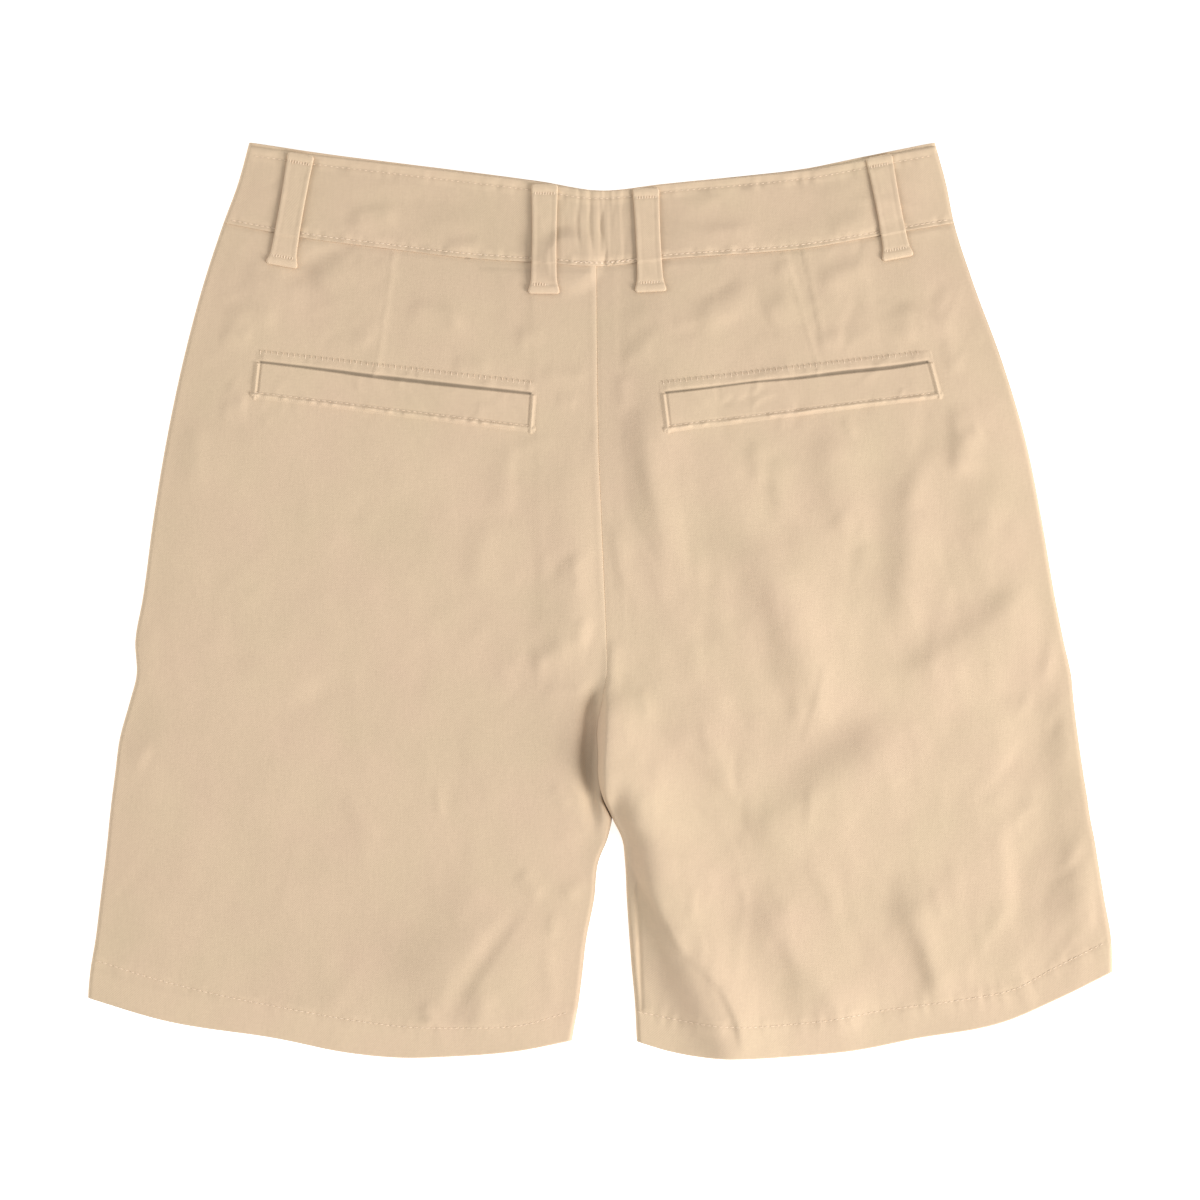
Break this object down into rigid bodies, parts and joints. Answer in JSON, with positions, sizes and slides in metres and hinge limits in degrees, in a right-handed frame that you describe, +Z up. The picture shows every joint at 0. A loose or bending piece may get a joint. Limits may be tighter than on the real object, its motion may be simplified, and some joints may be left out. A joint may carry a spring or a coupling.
{
  "type": "bermuda shorts",
  "caption": "Women's bermuda shorts in cotton twill, laid flat on the front with the back side up: waistband, belt loops, darts, welt pockets and fly.",
  "frame": {"origin": "middle of the laid-out garment's bounding box, on the surface that it lies on", "axes": "+X across the hips towards the wearer's right leg, +Y from the hems towards the waistband, +Z up through the thin stack of cloth, out of the back side"},
  "size_m": [0.5337, 0.4765, 0.0149],
  "materials": {
    "twill": "matt sand-beige cotton twill, softly brushed",
    "zip_tape": "matt woven tape",
    "button": "horn-look resin, low gloss"
  },
  "bodies": {
    "root": {"back_panel_left": "twill", "back_panel_right": "twill", "front_panel_left": "twill", "front_panel_right": "twill", "waistband_back": "twill", "waistband_front_left": "twill", "waistband_front_right": "twill", "back_loop_outer_left": "twill", "back_loop_inner_left": "twill", "back_loop_inner_right": "twill", "back_loop_outer_right": "twill", "front_loop_left": "twill", "front_loop_right": "twill", "pocket_welt_left": "twill", "pocket_welt_right": "twill", "fly_shield": "twill", "fly_zip": "zip_tape", "waist_button": "button"}
  },
  "joints": []
}
